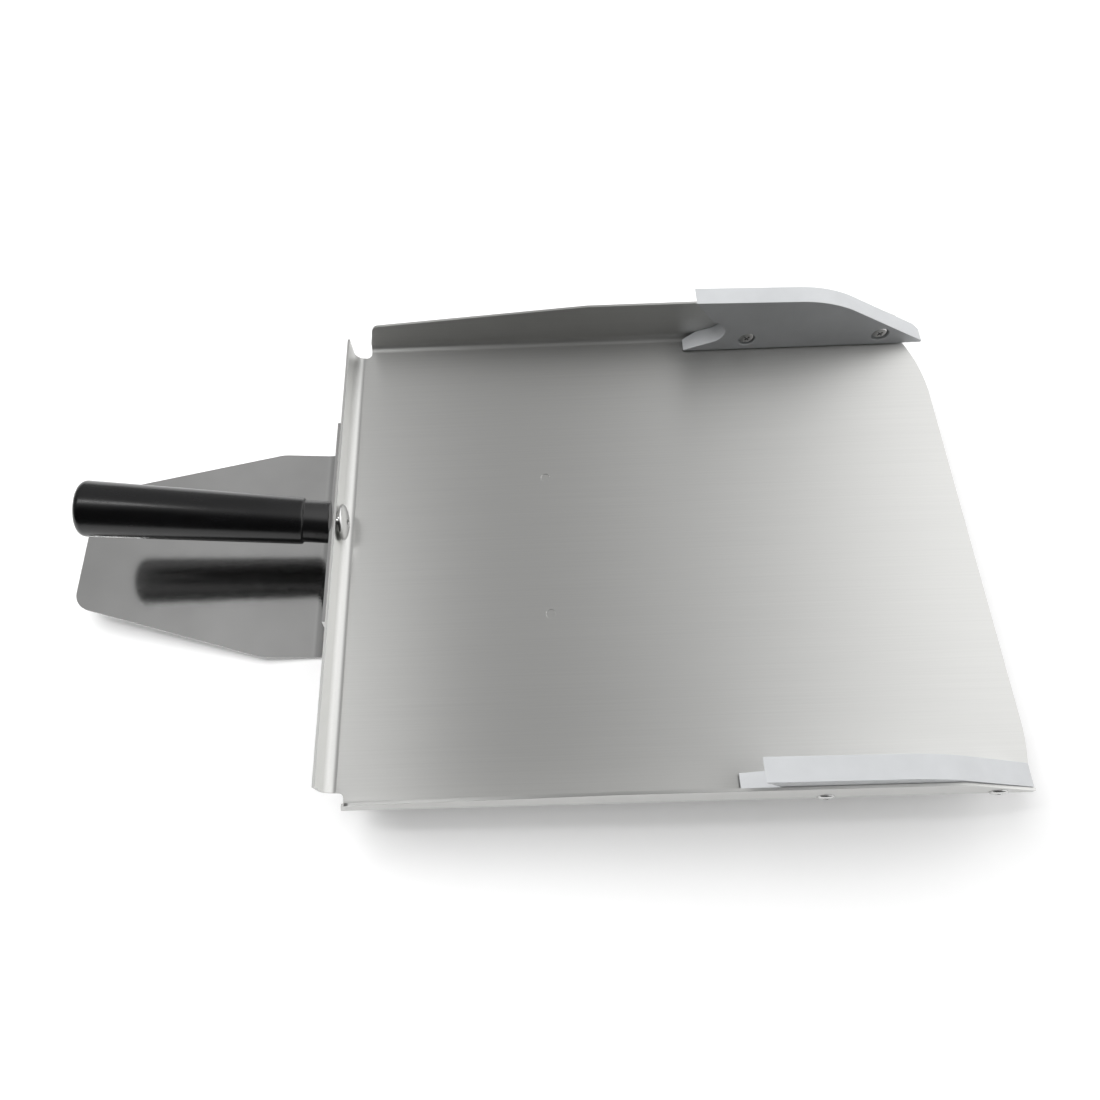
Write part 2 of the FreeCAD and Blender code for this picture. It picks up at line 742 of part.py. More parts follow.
def place(body, s):
    """Shifts a body to the object's own origin, at the bottom centre of its bounding box."""
    bind(body, ".Placement.Base.x", shift_x(s))
    bind(body, ".Placement.Base.z", s["plate_drop"])


def mirrored(doc, source, label):
    copy = doc.addObject("Part::Mirroring", label)
    copy.Source = source
    copy.Normal = (0, 1, 0)
    copy.Base = (0, 0, 0)
    copy.Label = label
    return copy


def shorten_guard(doc, guard, s):
    """Cuts the right guard square, short of where the left one's tip reaches."""
    guard.Label = "side_guard_right_whole"
    keep = doc.addObject("Part::Box", "guard_right_keep")
    bind(keep, "Length", s["guard_right_end"] - s["tongue_rear"] + OVERSHOOT)
    bind(keep, "Width", s["tray_width"])
    bind(keep, "Height", s["tray_width"])
    bind(keep, ".Placement.Base.x", shift_x(s) + s["tongue_rear"] - OVERSHOOT)
    bind(keep, ".Placement.Base.y", -s["tray_width"])
    short = doc.addObject("Part::MultiCommon", "side_guard_right_short")
    short.Shapes = [guard, keep]
    short.Label = "side_guard_right"
    return short


def build(doc):
    s = make_sheet(doc)
    gap = s["fit_gap"]
    pieces = [make_tray(doc, s), make_guard(doc, s), make_plate(doc, s), make_grip(doc, s)]
    pieces.append(make_bolt(doc, s))
    pieces.append(tube(doc, "bolt_spacer", s["spacer_radius"], s["bolt_radius"] + gap,
                       s["spacer_thickness"], s["sheet_thickness"], s))
    pieces.append(tube(doc, "handle_insert", s["insert_radius"] - gap, s["bolt_radius"] + gap,
                       s["insert_length"], -(s["plate_thickness"] + s["insert_length"]), s))
    paired = [pieces[1]]
    for name, x in (("rear", s["screw_rear_x"]), ("front", s["screw_rear_x"] + s["screw_pitch"])):
        for piece in (make_screw(doc, "guard_screw_left_" + name, x, s),
                      make_sleeve(doc, "guard_sleeve_left_" + name, x, s)):
            pieces.append(piece)
            paired.append(piece)
    for piece in pieces:
        place(piece, s)
    doc.recompute()
    for piece in paired:
        copy = mirrored(doc, piece, piece.Label.replace("left", "right"))
        if copy.Label == "side_guard_right":
            copy = shorten_guard(doc, copy, s)
        pieces.append(copy)
    doc.recompute()
    return pieces


def check(doc, pieces):
    for item in doc.Objects:
        if "Invalid" in item.State or "Error" in item.State:
            raise RuntimeError("%s did not build: %s" % (item.Label, item.State))
    for piece in pieces:
        if piece.Shape.isNull() or not piece.Shape.isValid():
            raise RuntimeError(piece.Label + " has no valid shape")
        if len(piece.Shape.Solids) != 1:
            raise RuntimeError("%s has %d solids" % (piece.Label, len(piece.Shape.Solids)))


def main():
    os.makedirs("parts", exist_ok=True)
    doc = FreeCAD.newDocument("mortar_scoop")
    pieces = build(doc)
    check(doc, pieces)
    for piece in pieces:
        piece.Shape.exportStep("parts/%s.step" % piece.Label)


main()
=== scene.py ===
"""A sheet-steel mortar scoop: its pieces, finishes, studio and camera."""

import math

import bpy
from bpy.props import FloatProperty, FloatVectorProperty, PointerProperty
from mathutils import Matrix, Vector


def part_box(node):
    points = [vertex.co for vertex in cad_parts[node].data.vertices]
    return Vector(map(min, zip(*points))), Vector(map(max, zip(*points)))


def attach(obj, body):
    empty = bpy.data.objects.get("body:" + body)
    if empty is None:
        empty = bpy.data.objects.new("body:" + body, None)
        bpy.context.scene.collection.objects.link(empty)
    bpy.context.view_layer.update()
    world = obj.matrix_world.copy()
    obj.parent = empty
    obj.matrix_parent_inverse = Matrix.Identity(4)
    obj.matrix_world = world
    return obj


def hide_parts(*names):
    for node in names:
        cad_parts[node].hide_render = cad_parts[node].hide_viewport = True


bl_info = {
    "name": "Mortar scoop",
    "version": (1, 0, 0),
    "blender": (4, 5, 0),
    "location": "View3D > Sidebar > Scoop",
    "description": "Builds a sheet-steel mortar scoop with side guards, grip and studio",
    "category": "Add Mesh",
}

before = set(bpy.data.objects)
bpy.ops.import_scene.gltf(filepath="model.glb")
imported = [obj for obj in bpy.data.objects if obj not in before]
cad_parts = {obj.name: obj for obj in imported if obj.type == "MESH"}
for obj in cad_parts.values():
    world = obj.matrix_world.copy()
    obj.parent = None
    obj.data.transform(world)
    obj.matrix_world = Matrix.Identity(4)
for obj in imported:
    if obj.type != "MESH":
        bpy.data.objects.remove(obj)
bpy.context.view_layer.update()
MM = 0.001
ROOT = "root"
SIDES = {"left": 1, "right": -1}
ENDS = ("rear", "front")
GRAIN_MAP = "grain"


# ---------------------------------------------------------------- colours and nodes


def linear(hex_colour):
    """An sRGB hex colour such as "#C4C4C2" as linear red, green, blue and alpha."""
    channels = [int(hex_colour[i:i + 2], 16) / 255 for i in (1, 3, 5)]
    straight = [c / 12.92 if c <= 0.04045 else ((c + 0.055) / 1.055) ** 2.4 for c in channels]
    return tuple(straight) + (1.0,)


def add_node(tree, kind, settings=None, inputs=None):
    """Adds a node. inputs gives each socket a value, or another node's output to link to."""
    node = tree.nodes.new(kind)
    for name, value in (settings or {}).items():
        setattr(node, name, value)
    for name, value in (inputs or {}).items():
        if isinstance(value, bpy.types.NodeSocket):
            tree.links.new(value, node.inputs[name])
        else:
            node.inputs[name].default_value = value
    return node


def new_material(name, values):
    """A material with a Principled shader; returns it with its tree and shader."""
    material = bpy.data.materials.new(name)
    material.use_nodes = True
    tree = material.node_tree
    shader = tree.nodes["Principled BSDF"]
    for socket, value in values.items():
        shader.inputs[socket].default_value = value
    return material, tree, shader


def object_pattern(tree, scale, detail=2.0, turn=(0, 0, 0)):
    """Noise on the piece's own coordinates, with a scale for each axis."""
    place = add_node(tree, "ShaderNodeTexCoord")
    mapping = add_node(tree, "ShaderNodeMapping", inputs={
        "Vector": place.outputs["Object"], "Scale": scale, "Rotation": turn})
    noise = add_node(tree, "ShaderNodeTexNoise", inputs={
        "Vector": mapping.outputs["Vector"], "Scale": 1.0, "Detail": detail, "Roughness": 0.55})
    return noise.outputs["Fac"]


def spread(tree, value, low, high, start=0.3, end=0.7):
    """Maps a pattern's middle range onto low to high."""
    node = add_node(tree, "ShaderNodeMapRange", inputs={
        "Value": value, "From Min": start, "From Max": end, "To Min": low, "To Max": high})
    return node.outputs["Result"]


def toned(tree, pattern, kind, depth):
    """The piece's chosen colour, made darker and lighter by depth as the pattern goes."""
    colour = getattr(bpy.context.scene.scoop_colours, kind)
    darker = [channel * (1 - depth) for channel in colour]
    lighter = [channel * (1 + depth) for channel in colour]
    mix = add_node(tree, "ShaderNodeMix", {"data_type": "RGBA"}, {
        "Factor": pattern, "A": darker + [1.0], "B": lighter + [1.0]})
    return mix.outputs["Result"]


def coloured(tree, shader, pattern, kind, depth):
    """Gives the shader the piece's chosen colour, varied by the middle range of a pattern."""
    tone = toned(tree, spread(tree, pattern, 0.0, 1.0), kind, depth)
    tree.links.new(tone, shader.inputs["Base Color"])


def roughened(tree, shader, pattern, low, high):
    tree.links.new(spread(tree, pattern, low, high), shader.inputs["Roughness"])


def bumped(tree, shader, height, strength, distance):
    bump = add_node(tree, "ShaderNodeBump", inputs={
        "Height": height, "Strength": strength, "Distance": distance})
    tree.links.new(bump.outputs["Normal"], shader.inputs["Normal"])


# ---------------------------------------------------------------- finishes


def brushed_tray_steel():
    """Stainless sheet, satin-brushed along the tray: reflections smear across the grain."""
    material, tree, shader = new_material("stainless_satin_brushed", {
        "Metallic": 1.0, "Roughness": 0.42, "Anisotropic": 0.85, "Anisotropic Rotation": 0.25})
    tangent = add_node(tree, "ShaderNodeTangent", {"direction_type": "UV_MAP", "uv_map": GRAIN_MAP})
    tree.links.new(tangent.outputs["Tangent"], shader.inputs["Tangent"])
    # The real grain is about 0.1 mm apart, drawn at 0.8 mm so that it shows.
    grain = object_pattern(tree, (1 / 0.09, 1 / 0.0008, 1 / 0.0008), detail=3.0)
    coloured(tree, shader, grain, "tray_steel", 0.02)
    bumped(tree, shader, grain, 0.05, 0.00003)
    return material


def plate_steel():
    """Stainless sheet as rolled, finely dulled: brighter and more even than the brushed tray."""
    material, tree, shader = new_material("stainless_rolled_dull", {"Metallic": 1.0})
    # Rolling grain of about 0.05 mm, drawn at 0.7 mm so that it shows.
    grain = object_pattern(tree, (1 / 0.012, 1 / 0.0007, 1 / 0.0007), detail=4.0)
    clouds = object_pattern(tree, (1 / 0.035, 1 / 0.035, 1 / 0.035), detail=2.0)
    coloured(tree, shader, clouds, "plate_steel", 0.05)
    roughened(tree, shader, grain, 0.12, 0.16)
    bumped(tree, shader, grain, 0.1, 0.00003)
    return material


def guard_polyethylene():
    """White polyethylene, milled from sheet: a waxy sheen with faint cutter lines."""
    material, tree, shader = new_material("polyethylene_milled_white", {
        "IOR": 1.51, "Subsurface Weight": 0.06, "Subsurface Radius": (0.002, 0.002, 0.002),
        "Subsurface Scale": 1.0})
    # Cutter lines 0.3 mm apart, drawn at 1 mm so that they show.
    lines = object_pattern(tree, (1 / 0.03, 1 / 0.001, 1 / 0.001), detail=2.0)
    clouds = object_pattern(tree, (1 / 0.02, 1 / 0.02, 1 / 0.02), detail=3.0)
    coloured(tree, shader, clouds, "guard", 0.04)
    roughened(tree, shader, lines, 0.36, 0.46)
    bumped(tree, shader, lines, 0.12, 0.00004)
    return material


def grip_polypropylene():
    """Black polypropylene, injection-moulded in a satin tool: a soft highlight with fine pimples."""
    material, tree, shader = new_material("polypropylene_moulded_black", {"IOR": 1.49})
    # Tool texture of about 0.1 mm, drawn at 0.5 mm so that it shows.
    pimples = object_pattern(tree, (1 / 0.0005, 1 / 0.0005, 1 / 0.0005), detail=2.0)
    rubbed = object_pattern(tree, (1 / 0.03, 1 / 0.008, 1 / 0.008), detail=3.0)
    coloured(tree, shader, rubbed, "grip", 0.25)
    roughened(tree, shader, rubbed, 0.22, 0.28)
    bumped(tree, shader, pimples, 0.05, 0.00005)
    return material


def bolt_steel():
    """Stainless, cold-headed and tumble-polished: mirror-like, with faint tumbling marks."""
    material, tree, shader = new_material("stainless_tumble_polished", {"Metallic": 1.0})
    marks = object_pattern(tree, (1 / 0.003, 1 / 0.003, 1 / 0.003), detail=5.0)
    coloured(tree, shader, marks, "fasteners", 0.04)
    roughened(tree, shader, marks, 0.08, 0.17)
    bumped(tree, shader, marks, 0.05, 0.00005)
    return material


def screw_steel():
    """Stainless, cold-formed and pickled: bright, with a slight greyness in the recess."""
    material, tree, shader = new_material("stainless_cold_formed", {"Metallic": 1.0})
    marks = object_pattern(tree, (1 / 0.0015, 1 / 0.0015, 1 / 0.0015), detail=4.0)
    coloured(tree, shader, marks, "fasteners", 0.13)
    roughened(tree, shader, marks, 0.14, 0.26)
    bumped(tree, shader, marks, 0.06, 0.00005)
    return material


def insert_brass():
    """Brass, turned from bar: yellow, with fine tool rings."""
    material, tree, shader = new_material("brass_turned", {"Metallic": 1.0})
    rings = object_pattern(tree, (1 / 0.0004, 1 / 0.01, 1 / 0.01), detail=2.0)
    coloured(tree, shader, rings, "insert", 0.1)
    roughened(tree, shader, rings, 0.2, 0.34)
    bumped(tree, shader, rings, 0.15, 0.00004)
    return material


def studio_paper():
    """Pale seamless paper, glowing a little so that it stays pale in the piece's shadow."""
    material, tree, shader = new_material("paper_seamless_pale", {
        "Roughness": 0.9, "Emission Color": (1.0, 1.0, 1.0, 1.0), "Emission Strength": 0.17})
    fibres = object_pattern(tree, (1 / 0.006, 1 / 0.006, 1 / 0.006), detail=3.0)
    tree.links.new(toned(tree, fibres, "paper", 0.02), shader.inputs["Base Color"])
    return material


FINISHES = {
    "tray": brushed_tray_steel,
    "plate": plate_steel,
    "guard": guard_polyethylene,
    "grip": grip_polypropylene,
    "bolt": bolt_steel,
    "screw": screw_steel,
    "insert": insert_brass,
    "paper": studio_paper,
}


MADE = {}


def paint(piece, kind):
    """Gives every slot of a piece the finish."""
    if kind not in MADE:
        MADE[kind] = FINISHES[kind]()
    piece.data.materials.clear()
    piece.data.materials.append(MADE[kind])


def repaint_node(node, kind):
    """A CAD node keeps its mesh, and its slots get the finish."""
    if kind not in MADE:
        MADE[kind] = FINISHES[kind]()
    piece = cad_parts[node]
    if not piece.material_slots:
        piece.data.materials.append(MADE[kind])
    for slot in piece.material_slots:
        slot.link = "OBJECT"
        slot.material = MADE[kind]


# ---------------------------------------------------------------- modelling by hand


def deselect_all():
    if bpy.context.object and bpy.context.object.mode != "OBJECT":
        bpy.ops.object.mode_set(mode="OBJECT")
    for item in bpy.context.selected_objects:
        item.select_set(False)
    bpy.context.view_layer.objects.active = None


def take(piece):
    """Makes one object the only one selected, and active."""
    deselect_all()
    piece.select_set(True)
    bpy.context.view_layer.objects.active = piece


def edit(piece):
    take(piece)
    bpy.ops.object.mode_set(mode="EDIT")
    bpy.ops.mesh.select_all(action="SELECT")


def settle(piece, matrix=None):
    """Moves a piece to its place and puts the place into its mesh."""
    if matrix is not None:
        piece.matrix_world = matrix @ piece.matrix_world
    take(piece)
    bpy.ops.object.transform_apply(location=True, rotation=True, scale=True)


def apply_modifier(piece, kind, **settings):
    take(piece)
    modifier = piece.modifiers.new(kind.lower(), kind)
    for name, value in settings.items():
        setattr(modifier, name, value)
    bpy.ops.object.modifier_apply(modifier=modifier.name)


def smooth(piece, angle=32):
    take(piece)
    bpy.ops.object.shade_smooth_by_angle(angle=math.radians(angle))


def turned(name, outline, sides):
    """A solid turned about Z. outline runs from the bottom up as (height, radius)."""
    height, radius = outline[0]
    deselect_all()
    bpy.ops.mesh.primitive_circle_add(
        vertices=sides, radius=radius, fill_type="NGON", location=(0, 0, height))
    piece = bpy.context.active_object
    piece.name = name
    edit(piece)
    for next_height, next_radius in outline[1:]:
        lift = (0, 0, next_height - height)
        bpy.ops.mesh.extrude_region_move(TRANSFORM_OT_translate={"value": lift})
        scale = next_radius / radius
        bpy.ops.transform.resize(value=(scale, scale, 1), center_override=(0, 0, next_height))
        height, radius = next_height, next_radius
    bpy.ops.mesh.select_all(action="SELECT")
    bpy.ops.mesh.normals_make_consistent(inside=False)
    bpy.ops.object.mode_set(mode="OBJECT")
    settle(piece)
    return piece


def quarter(height, radius, rise, run, steps=6):
    """Outline points round an outside corner, from (height, radius) up by rise and in by run."""
    points = []
    for step in range(steps + 1):
        angle = math.pi / 2 * step / steps
        points.append((height + rise * math.sin(angle), radius - run + run * math.cos(angle)))
    return points


def cut_away(piece, cutter):
    """Takes the cutter's shape out of the piece and deletes the cutter."""
    apply_modifier(piece, "BOOLEAN", operation="DIFFERENCE", solver="EXACT", object=cutter)
    take(cutter)
    bpy.ops.object.delete()


def slot_cutter(top, length, width, depth, turn):
    """A box with a narrower foot, for one arm of a cross recess."""
    deselect_all()
    bpy.ops.mesh.primitive_cube_add(size=1, location=(0, 0, top))
    cutter = bpy.context.active_object
    cutter.scale = (length, width, depth * 2)
    cutter.rotation_euler = (0, 0, turn)
    settle(cutter)
    edit(cutter)
    bpy.ops.mesh.select_all(action="DESELECT")
    bpy.ops.object.mode_set(mode="OBJECT")
    for face in cutter.data.polygons:
        face.select = face.normal.z < -0.9
    bpy.ops.object.mode_set(mode="EDIT")
    bpy.ops.transform.resize(value=(0.6, 0.6, 1), center_override=(0, 0, top - depth))
    bpy.ops.object.mode_set(mode="OBJECT")
    return cutter


def cross_recess(piece, top, length, width, depth):
    for turn in (math.pi / 4, -math.pi / 4):
        cut_away(piece, slot_cutter(top, length, width, depth, turn))


def own_copy(piece, name):
    copy = piece.copy()
    copy.data = piece.data.copy()
    copy.name = name
    bpy.context.collection.objects.link(copy)
    return copy


def rounded_copy(node, name, rounding, segments=2):
    """A CAD node's shape as one mesh, with its sharp edges eased."""
    deselect_all()
    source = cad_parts[node]
    piece = bpy.data.objects.new(name, source.data.copy())
    bpy.context.collection.objects.link(piece)
    edit(piece)
    bpy.ops.mesh.remove_doubles(threshold=0.005 * MM)
    bpy.ops.mesh.dissolve_limited(angle_limit=math.radians(0.3))
    bpy.ops.object.mode_set(mode="OBJECT")
    if rounding > 0:
        apply_modifier(piece, "BEVEL", width=rounding, segments=segments, limit_method="ANGLE",
                       angle_limit=math.radians(40), use_clamp_overlap=True)
    smooth(piece)
    apply_modifier(piece, "WEIGHTED_NORMAL", weight=100, keep_sharp=True)
    return piece


def lay_grain(piece):
    """Gives a piece a map whose first direction runs along the brushing, down the tray."""
    piece.data.uv_layers.new(name=GRAIN_MAP)
    edit(piece)
    bpy.ops.uv.cube_project(cube_size=1.0)
    bpy.ops.object.mode_set(mode="OBJECT")


def add_piece(piece, kind, nodes=()):
    """Paints a finished piece and fixes it to the scoop."""
    paint(piece, kind)
    if nodes:
        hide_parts(*nodes)
    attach(piece, ROOT)


def middle(node):
    low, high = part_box(node)
    return (low + high) / 2


def facing_y(sign, x, y, z):
    """Turns local +Z to face +Y or -Y, at a place."""
    return Matrix.Translation((x, y, z)) @ Matrix.Rotation(-sign * math.pi / 2, 4, "X")


def place_four(pattern, node_stem, piece_stem, head, outward, finish):
    """Copies a fastener to its four places, facing out of the tray (1) or into it (-1)."""
    for side, sign in SIDES.items():
        for end in ENDS:
            node = "%s_%s_%s" % (node_stem, side, end)
            low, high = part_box(node)
            centre = middle(node)
            facing = sign * outward
            face = high.y if facing > 0 else low.y
            piece = own_copy(pattern, "%s_%s_%s" % (piece_stem, side, end))
            settle(piece, facing_y(facing, centre.x, face - facing * head, centre.z))
            smooth(piece)
            add_piece(piece, finish, [node])
    take(pattern)
    bpy.ops.object.delete()


# ---------------------------------------------------------------- sizes and colours a user can change


class ScoopSizes(bpy.types.PropertyGroup):
    edge_rounding: FloatProperty(
        name="Guard edge rounding", description="Radius on the edges of the white side guards",
        default=0.5 * MM, min=0.0, unit="LENGTH")
    sheet_rounding: FloatProperty(
        name="Sheet edge rounding", description="Radius left by deburring the steel sheet",
        default=0.2 * MM, min=0.0, unit="LENGTH")
    grip_length: FloatProperty(
        name="Grip length", description="Length of the grip along its own axis",
        default=128.7 * MM, min=0.05, unit="LENGTH")
    grip_tilt: FloatProperty(
        name="Grip tilt", description="How far the grip rises towards its end",
        default=math.radians(11.6), subtype="ANGLE")
    neck_length: FloatProperty(
        name="Neck length", description="Length of the thinner neck against the plate",
        default=15 * MM, unit="LENGTH")
    neck_radius: FloatProperty(
        name="Neck radius", description="Radius of the neck", default=11.4 * MM, unit="LENGTH")
    front_radius: FloatProperty(
        name="Grip front radius", description="Radius just behind the neck",
        default=12.6 * MM, unit="LENGTH")
    rear_radius: FloatProperty(
        name="Grip rear radius", description="Radius near the grip's end",
        default=14.7 * MM, unit="LENGTH")
    end_rounding: FloatProperty(
        name="Grip end rounding", description="Radius round the grip's end",
        default=4 * MM, unit="LENGTH")
    socket_radius: FloatProperty(
        name="Socket radius", description="Half the width of the bolt's hexagon socket",
        default=2.5 * MM, unit="LENGTH")
    recess_length: FloatProperty(
        name="Recess length", description="Length of each arm pair of a screw's cross recess",
        default=4.4 * MM, unit="LENGTH")
    recess_width: FloatProperty(
        name="Recess width", description="Width of each arm of a screw's cross recess",
        default=0.9 * MM, unit="LENGTH")


def colour_property(name, description, hex_colour):
    return FloatVectorProperty(
        name=name, description=description, default=linear(hex_colour)[:3],
        subtype="COLOR", min=0.0, max=1.0)


class ScoopColours(bpy.types.PropertyGroup):
    tray_steel: colour_property("Tray steel", "Colour of the brushed tray", "#D6D6D4")
    plate_steel: colour_property("Plate steel", "Colour of the hand-guard plate", "#CBCBCA")
    guard: colour_property("Side guards", "Colour of the plastic side guards", "#C8CACC")
    grip: colour_property("Grip", "Colour of the moulded grip", "#0A0A0B")
    fasteners: colour_property("Fasteners", "Colour of the bolt, screws and sleeve nuts", "#CCCCCB")
    insert: colour_property("Insert", "Colour of the grip's metal insert", "#BE9C53")
    paper: colour_property("Paper", "Colour of the studio floor", "#F6F6F6")


class ScoopStudio(bpy.types.PropertyGroup):
    lens: FloatProperty(name="Lens", description="Camera lens in millimetres", default=26.81)
    camera_place: FloatVectorProperty(
        name="Camera place", description="Where the camera stands",
        default=(0.00745, -0.19432, 0.43387), subtype="XYZ")
    key_power: FloatProperty(
        name="Key power", description="Power of the large soft light in watts", default=26.0)
    strip_power: FloatProperty(
        name="Strip power", description="Power of the narrow light in watts", default=3.0)


# ---------------------------------------------------------------- pieces


class SCOOP_OT_sheet_metal(bpy.types.Operator):
    """Folded tray and hand-guard plate"""
    bl_idname = "scoop.sheet_metal"
    bl_label = "Tray and plate"

    def execute(self, context):
        rounding = context.scene.scoop_sizes.sheet_rounding
        tray = rounded_copy("scoop_tray", "tray_sheet", rounding)
        lay_grain(tray)
        add_piece(tray, "tray", ["scoop_tray"])
        plate = rounded_copy("hand_guard_plate", "plate_sheet", rounding)
        add_piece(plate, "plate", ["hand_guard_plate"])
        return {"FINISHED"}


class SCOOP_OT_side_guards(bpy.types.Operator):
    """White side guards with eased edges"""
    bl_idname = "scoop.side_guards"
    bl_label = "Side guards"

    def execute(self, context):
        rounding = context.scene.scoop_sizes.edge_rounding
        for side in SIDES:
            node = "side_guard_" + side
            guard = rounded_copy(node, "guard_block_" + side, rounding, segments=3)
            add_piece(guard, "guard", [node])
        return {"FINISHED"}


class SCOOP_OT_grip(bpy.types.Operator):
    """Turned black grip, cut square against the plate"""
    bl_idname = "scoop.grip"
    bl_label = "Grip"

    def execute(self, context):
        sizes = context.scene.scoop_sizes
        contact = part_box("handle_insert")[1].x
        axis = middle("handle_insert")
        step = 2 * MM
        run_in = 5 * MM
        outline = [(-run_in, sizes.neck_radius), (sizes.neck_length - 0.4 * MM, sizes.neck_radius)]
        outline += [(sizes.neck_length, sizes.neck_radius + 0.15 * MM)]
        outline += [(sizes.neck_length + step - 1.2 * MM, sizes.front_radius)]
        outline += [(sizes.neck_length + step, sizes.front_radius + 0.05 * MM)]
        rounding = sizes.end_rounding
        straight = sizes.grip_length - rounding
        outline += quarter(straight, sizes.rear_radius, rounding, rounding, 8)
        grip = turned("grip_handle", outline, 128)
        aim = Matrix.Rotation(-math.pi / 2 + sizes.grip_tilt, 4, "Y")
        settle(grip, Matrix.Translation((contact, axis.y, axis.z)) @ aim)
        edit(grip)
        bpy.ops.mesh.bisect(
            plane_co=(contact, 0, 0), plane_no=(1, 0, 0), clear_outer=True, use_fill=True)
        bpy.ops.mesh.select_all(action="SELECT")
        bpy.ops.mesh.normals_make_consistent(inside=False)
        bpy.ops.object.mode_set(mode="OBJECT")
        apply_modifier(grip, "BEVEL", width=0.3 * MM, segments=2, limit_method="ANGLE",
                       angle_limit=math.radians(50))
        smooth(grip)
        add_piece(grip, "grip", ["handle_grip"])
        return {"FINISHED"}


class SCOOP_OT_bolt(bpy.types.Operator):
    """Domed bolt with a hexagon socket"""
    bl_idname = "scoop.bolt"
    bl_label = "Grip bolt"

    def execute(self, context):
        low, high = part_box("handle_bolt")
        axis = middle("handle_bolt")
        head_radius = (high.y - low.y) / 2
        rim = 0.8 * MM
        head_height = 3.4 * MM
        shank = 4 * MM
        seat = high.x - head_height
        outline = [(low.x - seat, shank), (0, shank)]
        outline += [(0, head_radius - 0.2 * MM), (0.2 * MM, head_radius)]
        outline += [(rim, head_radius)]
        steps = 12
        for step in range(1, steps):
            angle = math.pi / 2 * step / steps
            height = rim + (head_height - rim) * math.sin(angle)
            outline.append((height, head_radius * math.cos(angle)))
        outline.append((head_height, 0.6 * MM))
        bolt = turned("bolt_domed", outline, 96)
        deselect_all()
        bpy.ops.mesh.primitive_cylinder_add(
            vertices=6, radius=context.scene.scoop_sizes.socket_radius / math.cos(math.pi / 6),
            depth=4 * MM, location=(0, 0, head_height))
        cut_away(bolt, bpy.context.active_object)
        settle(bolt, Matrix.Translation((seat, axis.y, axis.z)) @ Matrix.Rotation(math.pi / 2, 4, "Y"))
        apply_modifier(bolt, "BEVEL", width=0.15 * MM, segments=2, limit_method="ANGLE",
                       angle_limit=math.radians(50))
        smooth(bolt)
        add_piece(bolt, "bolt", ["handle_bolt"])
        return {"FINISHED"}


class SCOOP_OT_screws(bpy.types.Operator):
    """Cross-recessed screws through the walls"""
    bl_idname = "scoop.screws"
    bl_label = "Guard screws"

    def execute(self, context):
        sizes = context.scene.scoop_sizes
        low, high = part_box("guard_screw_left_rear")
        head_radius = (high.x - low.x) / 2
        head = 1.5 * MM
        shank = 2 * MM
        reach = (high.y - low.y) - head
        outline = [(-reach, shank - 0.4 * MM), (-reach + 0.4 * MM, shank), (0, shank), (0, head_radius)]
        outline += quarter(0.4 * MM, head_radius, head - 0.4 * MM, 2.4 * MM, 7)
        pattern = turned("screw_pattern", outline, 64)
        cross_recess(pattern, head, sizes.recess_length, sizes.recess_width, 0.9 * MM)
        place_four(pattern, "guard_screw", "wall_screw", head, 1, "screw")
        return {"FINISHED"}


class SCOOP_OT_sleeve_nuts(bpy.types.Operator):
    """Closed sleeve nuts, sunk into the guards"""
    bl_idname = "scoop.sleeve_nuts"
    bl_label = "Sleeve nuts"

    def execute(self, context):
        sizes = context.scene.scoop_sizes
        low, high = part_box("guard_sleeve_left_rear")
        flange_radius = (high.x - low.x) / 2
        flange = 1.6 * MM
        barrel = 2.8 * MM
        reach = (high.y - low.y) - flange
        outline = [(-reach, barrel), (0, barrel), (0, flange_radius)]
        outline += quarter(0.4 * MM, flange_radius, flange - 0.4 * MM, 2.8 * MM, 7)
        pattern = turned("nut_pattern", outline, 64)
        cross_recess(pattern, flange, sizes.recess_length * 1.15, sizes.recess_width * 1.2, 1.0 * MM)
        place_four(pattern, "guard_sleeve", "sleeve_nut", flange, -1, "bolt")
        return {"FINISHED"}


class SCOOP_OT_inner_parts(bpy.types.Operator):
    """Finishes for the parts inside the joint"""
    bl_idname = "scoop.inner_parts"
    bl_label = "Inner parts"

    def execute(self, context):
        repaint_node("bolt_spacer", "bolt")
        repaint_node("handle_insert", "insert")
        return {"FINISHED"}


# ---------------------------------------------------------------- studio


def add_light(name, place, target, size, power, seen_in_gloss=True):
    data = bpy.data.lights.new(name, "AREA")
    data.shape = "RECTANGLE"
    data.size, data.size_y = size
    data.energy = power
    light = bpy.data.objects.new(name, data)
    bpy.context.collection.objects.link(light)
    light.location = place
    light.rotation_euler = (Vector(target) - Vector(place)).to_track_quat("-Z", "Y").to_euler()
    light.visible_glossy = seen_in_gloss
    return light


# Brightness of the room by direction, from behind the grip (0) to ahead of the mouth (1).
ROOM_LEVELS = (
    (0.0, 0.24), (0.30, 0.35), (0.42, 0.5), (0.50, 0.45), (0.60, 0.80), (0.68, 1.15),
    (0.715, 1.75), (1.0, 1.7))
CAMERA_RIGHT = Vector((0.99934, -0.02286, -0.02805))
CAMERA_BACK = Vector((0.01599, -0.41637, 0.90905))
CAMERA_SHIFT = (0.0275, 0.0056)
STRIP_CENTRE = (-0.65, 0.063)
LIGHT_HEIGHT = 1.5


